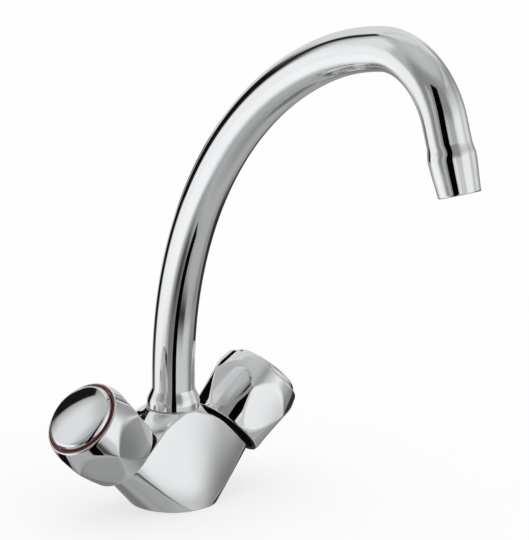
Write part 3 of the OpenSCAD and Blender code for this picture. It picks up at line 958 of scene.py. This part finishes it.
def dress_nodes():
    """Gives every CAD node its finished material, chosen by its name, or else chrome."""
    # Headwork, spindle and spigot take the brass that is painted near black as shade
    looks = (("headwork_oring", RUBBER), ("spindle_oring", RUBBER), ("spigot_oring", RUBBER),
             ("base_seal", RUBBER), ("seat_seal", RUBBER), ("aerator_washer", RUBBER),
             ("disc", CERAMIC), ("headwork", PAINTED_SHADE_BRASS), ("spindle", PAINTED_SHADE_BRASS), ("spigot", PAINTED_SHADE_BRASS),
             ("slip_ring", PLASTIC), ("aerator_cage", PLASTIC), ("aerator_screen", STEEL),
             ("screw", STEEL))
    for name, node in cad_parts.items():
        chosen = CHROME
        for part, material in looks:
            if part in name:
                chosen = material
                break
        node.data.materials.clear()
        node.data.materials.append(chosen)


# Studio

CHROME_SHINE = 0.94


def level(code):
    """Linear light that polished chrome shows as the given display value."""
    share = code / 255.0
    linear = share / 12.92 if share < 0.04045 else ((share + 0.055) / 1.055) ** 2.4
    return linear / CHROME_SHINE


# Soft boxes, cards and open places round the tap: azimuths from the front towards +X and
# elevations, both in degrees, the softness of the edges, and the display value. All rows were
# named and first set one by one. Fits to the photograph's brightness then moved the numbers of
# all but the last two, and PLAIN_CODES below, and three rows were changed after that.
STUDIO = (
    ("left wall, lower part", -176, -88, -49, 4, 22, 240),
    ("left wall, middle", -162, -100, -20, 15, 4, 234),
    ("left wall, upper part", -161, -125, 9, 49, 21, 218),
    ("grey gap beside the left wall", -125, -91, 10, 56, 12, 176),
    ("left grey card", -108, -59, -18, 46, 21, 132),
    ("pale strip beside the black card", -87, -73, -24, 28, 5, 169),
    ("ceiling edge at the front", -105, 59, 53, 51, 29, 98),
    ("low grey board on the left", -75, -41, -46, -19, 8, 110),
    ("dark corner low on the left", -71, -56, -45, -31, 10, 67),
    ("front soft box", -37, 52, -25, 35, 36, 232),
    ("front soft box, upper fall-off", -22, 67, 29, 34, 32, 190),
    ("narrow grey strip", -24, 2, -12, 56, 4, 198),
    ("strip at the black card's edge", -66, 6, 17, 58, 23, 134),
    ("low front board", -45, 74, -30, -16, 6, 194),
    ("low front board, near part", -9, 58, -69, -35, 13, 167),
    ("shade left of the low board", -31, 8, -39, -29, 14, 12),
    ("low right board", 47, 78, -32, 3, 38, 94),
    ("right fall-off", 56, 110, -9, 17, 25, 216),
    ("right grey card", 90, 130, -36, 29, 36, 133),
    ("low right dark card", 86, 124, -44, -13, 10, 45),
    ("right white wall", 118, 186, -17, 69, 14, 210),
    ("right wall beside the window", 93, 129, 29, 58, 18, 214),
    ("dark band behind", 171, 202, -22, 14, 13, 14),
    ("grey fringe of the dark band", -178, -166, 10, 43, 4, 34),
    ("low grey behind", 99, 167, -57, -38, 8, 154),
    ("dark corner low behind", 142, 199, -64, -32, 21, 116),
    ("shade under the back", 129, 170, -85, -63, 17, 110),
    ("high fill on the right", 30, 94, 40, 50, 8, 186),
    ("high fill behind", 94, 178, 45, 51, 6, 196),
)

# The tent: a sphere, its grid, and the plain light between the places above, by elevation
TENT_R = 4000.0
TENT_RISE = 140.0
TENT_COLUMNS = 240
TENT_ROWS = 119
TENT_TOP_ROW = 88.5
PLAIN_ELEVATIONS = (-90, -62, -45, 0, 45, 58, 90)
PLAIN_CODES = (140, 168, 145, 148, 146, 178, 189)
COOL_TINT = (1.0, 1.005, 1.01)


def band(value, low, high, soft):
    """1 inside a span of degrees, falling softly to 0 outside it."""
    return smooth_step((value - low) / soft + 0.5) * smooth_step((high - value) / soft + 0.5)


def tent_level(azimuth, elevation):
    """Light of the tent in the given directions: each place lies over those before it."""
    plain = np.interp(elevation, PLAIN_ELEVATIONS, PLAIN_CODES)
    out = np.array([level(code) for code in plain])
    for _, az0, az1, el0, el1, soft, code in STUDIO:
        middle = (az0 + az1) / 2.0
        turn = (azimuth - middle + 180.0) % 360.0 - 180.0 + middle
        share = band(turn, az0, az1, soft) * band(elevation, el0, el1, soft)
        out = out * (1.0 - share) + level(code) * share
    return out


def glossy_only(piece):
    """Shows a studio card in reflections alone."""
    piece.visible_camera = False
    piece.visible_diffuse = False
    piece.visible_transmission = False
    piece.visible_volume_scatter = False
    piece.visible_shadow = False


def light_material(name):
    """A material that glows, and its glowing node."""
    material = bpy.data.materials.new(name)
    material.use_nodes = True
    material.cycles.emission_sampling = "NONE"
    nodes = material.node_tree.nodes
    nodes.remove(nodes["Principled BSDF"])
    glow = nodes.new("ShaderNodeEmission")
    output = nodes["Material Output"]
    material.node_tree.links.new(glow.outputs["Emission"], output.inputs["Surface"])
    return material, glow


def add_studio_piece(name, mesh, material):
    """Adds the floor, the tent or a card, none of which is part of the tap."""
    mesh.materials.append(material)
    piece = new_object(name, mesh)
    return piece


def add_tent():
    """A large sphere round the tap that carries the studio's light and dark places."""
    elevations = np.linspace(-TENT_TOP_ROW, TENT_TOP_ROW, TENT_ROWS)
    azimuths = np.arange(TENT_COLUMNS) * 360.0 / TENT_COLUMNS - 180.0
    el, az = np.meshgrid(elevations, azimuths, indexing="ij")
    el = np.append(el.ravel(), [-90.0, 90.0])
    az = np.append(az.ravel(), [0.0, 0.0])
    flat = np.cos(np.radians(el)) * TENT_R
    points = np.stack([flat * np.sin(np.radians(az)), -flat * np.cos(np.radians(az)),
                       TENT_R * np.sin(np.radians(el)) + TENT_RISE], -1)
    faces = grid_quads(TENT_ROWS, TENT_COLUMNS, False) + pole_fans(TENT_ROWS, TENT_COLUMNS)
    mesh = plain_mesh("studio_tent", points, faces)
    glow = tent_level(az, el)
    channels = [glow * tint for tint in COOL_TINT]
    colours = np.stack([*channels, np.ones(len(glow))], -1)
    attribute = mesh.color_attributes.new("glow", "FLOAT_COLOR", "POINT")
    attribute.data.foreach_set("color", colours.astype(np.float32).ravel())
    material, light = light_material("studio_tent")
    source = material.node_tree.nodes.new("ShaderNodeAttribute")
    source.attribute_name = "glow"
    material.node_tree.links.new(source.outputs["Color"], light.inputs["Color"])
    glossy_only(add_studio_piece("studio_tent", mesh, material))


def upright(middle, facing, half_wide, low_z, high_z):
    """Corners of an upright card, turned the given degrees away from facing the front."""
    turn = math.radians(facing)
    aside = np.array([math.cos(turn), math.sin(turn)]) * half_wide
    left = np.array(middle) - aside
    right = np.array(middle) + aside
    return [(*left, low_z), (*right, low_z), (*right, high_z), (*left, high_z)]


def lying(low_corner, high_corner, height):
    """Corners of a card that lies level."""
    x0, y0 = low_corner
    x1, y1 = high_corner
    return [(x0, y0, height), (x1, y0, height), (x1, y1, height), (x0, y1, height)]


def add_dark_card(name, corners, code):
    """A dark card near the tap, seen in reflections alone."""
    material, light = light_material(name)
    glow = level(code)
    light.inputs["Color"].default_value = (glow, glow, glow, 1.0)
    card = plain_mesh(name, corners, [(0, 1, 2, 3)])
    glossy_only(add_studio_piece(name, card, material))


def add_dark_cards():
    """The gap where the camera stood, three cards behind the tap and a mat below its left knob."""
    gap = upright(middle=(-305.0, -420.0), facing=-36.0, half_wide=98.0, low_z=-560.0, high_z=640.0)
    flag = upright(middle=(-80.8, 232.8), facing=35.5, half_wide=32.8, low_z=122.3, high_z=289.7)
    edge = upright(middle=(90.0, 190.0), facing=0.0, half_wide=36.0, low_z=116.0, high_z=176.0)
    ridge = upright(middle=(-2.5, 88.8), facing=73.8, half_wide=43.6, low_z=44.9, high_z=97.0)
    mat = lying(low_corner=(-100.0, 24.0), high_corner=(-50.0, 58.0), height=0.6)
    add_dark_card("camera_gap", gap, code=3.0)
    add_dark_card("small_flag", flag, code=22.0)
    add_dark_card("edge_card", edge, code=8.0)
    add_dark_card("ridge_card", ridge, code=8.0)
    add_dark_card("dark_mat", mat, code=12.0)


FLOOR_HALF = 6000.0
FLOOR_GLOW = 0.6


def whiten(material):
    """Mixes plain white into what the eye and mirrors see of a material, and keeps its shadow."""
    nodes = material.node_tree.nodes
    links = material.node_tree.links
    rays = nodes.new("ShaderNodeLightPath")
    seen = rays.outputs["Is Camera Ray"]
    for kind in ("Is Glossy Ray", "Is Transmission Ray"):
        either = nodes.new("ShaderNodeMath")
        either.operation = "MAXIMUM"
        links.new(seen, either.inputs[0])
        links.new(rays.outputs[kind], either.inputs[1])
        seen = either.outputs["Value"]
    share = nodes.new("ShaderNodeMath")
    share.operation = "MULTIPLY"
    share.inputs[1].default_value = FLOOR_GLOW
    links.new(seen, share.inputs[0])
    white = nodes.new("ShaderNodeEmission")
    mixed = nodes.new("ShaderNodeMixShader")
    links.new(share.outputs["Value"], mixed.inputs["Fac"])
    links.new(nodes["Principled BSDF"].outputs["BSDF"], mixed.inputs[1])
    links.new(white.outputs["Emission"], mixed.inputs[2])
    links.new(mixed.outputs["Shader"], nodes["Material Output"].inputs["Surface"])
    material.cycles.emission_sampling = "NONE"


def add_floor():
    """A large pale floor that takes the tap's shadow."""
    material = surface("pale_floor", (0.975, 0.975, 0.975), (0.985, 0.985, 0.985), (0.7, 0.8), 2.0)
    shader = material.node_tree.nodes["Principled BSDF"]
    shader.inputs["Specular IOR Level"].default_value = 0.0
    whiten(material)
    corners = lying((-FLOOR_HALF, -FLOOR_HALF), (FLOOR_HALF, FLOOR_HALF), 0.0)
    floor = add_studio_piece("floor", plain_mesh("floor", corners, [(0, 1, 2, 3)]), material)
    floor.visible_glossy = False


def set_world():
    """Plain white light at strength 1 from everywhere."""
    world = bpy.data.worlds.new("studio")
    world.use_nodes = True
    background = world.node_tree.nodes["Background"]
    background.inputs["Color"].default_value = (1.0, 1.0, 1.0, 1.0)
    background.inputs["Strength"].default_value = 1.0
    bpy.context.scene.world = world


# Camera

CAMERA_AZ = math.radians(38.98434)
CAMERA_EL = math.radians(15.82417)
CAMERA_FAR = 2450.41
CAMERA_TARGET = np.array([0.0, 0.0, 150.0])
CAMERA_YAW = math.radians(-1.0813836)
CAMERA_PITCH = math.radians(-0.59543811)
CAMERA_ROLL = math.radians(-0.14733279)
CAMERA_LENS = 327.41
SENSOR_WIDTH = 36.0

# How near and how far the camera sees, in metres
CLIP_NEAR = 0.1
CLIP_FAR = 60.0


def rotated(axis, angle, v):
    """A vector turned about an axis of length 1."""
    c = math.cos(angle)
    s = math.sin(angle)
    return v * c + np.cross(axis, v) * s + axis * np.dot(axis, v) * (1.0 - c)


def add_camera():
    """A long lens at the photograph's viewing angle, turned a little off the target."""
    back = np.array([-math.sin(CAMERA_AZ) * math.cos(CAMERA_EL),
                     -math.cos(CAMERA_AZ) * math.cos(CAMERA_EL), math.sin(CAMERA_EL)])
    place = CAMERA_TARGET + back * CAMERA_FAR
    ahead = -back
    right = np.cross(ahead, [0.0, 0.0, 1.0])
    right = right / np.linalg.norm(right)
    up = np.cross(right, ahead)
    ahead, right = rotated(up, CAMERA_YAW, ahead), rotated(up, CAMERA_YAW, right)
    ahead, up = rotated(right, CAMERA_PITCH, ahead), rotated(right, CAMERA_PITCH, up)
    right, up = rotated(ahead, CAMERA_ROLL, right), rotated(ahead, CAMERA_ROLL, up)
    data = bpy.data.cameras.new("camera")
    data.sensor_fit = "HORIZONTAL"
    data.sensor_width = SENSOR_WIDTH
    data.lens = CAMERA_LENS
    data.clip_start = CLIP_NEAR
    data.clip_end = CLIP_FAR
    matrix = Matrix.Identity(4)
    for row in range(3):
        matrix[row][0] = right[row]
        matrix[row][1] = up[row]
        matrix[row][2] = -ahead[row]
        matrix[row][3] = place[row] * MM
    camera = new_object("camera", data)
    camera.matrix_world = matrix
    bpy.context.scene.camera = camera


add_camera()
set_world()
add_floor()
add_tent()
add_dark_cards()
dress_nodes()
add_body()
add_tube()
add_collar()
add_nozzle()
for knob_side in SIDES:
    add_knob(knob_side)
    add_index_ring(knob_side)
    add_cap(knob_side)
bpy.context.scene.view_settings.view_transform = "Standard"
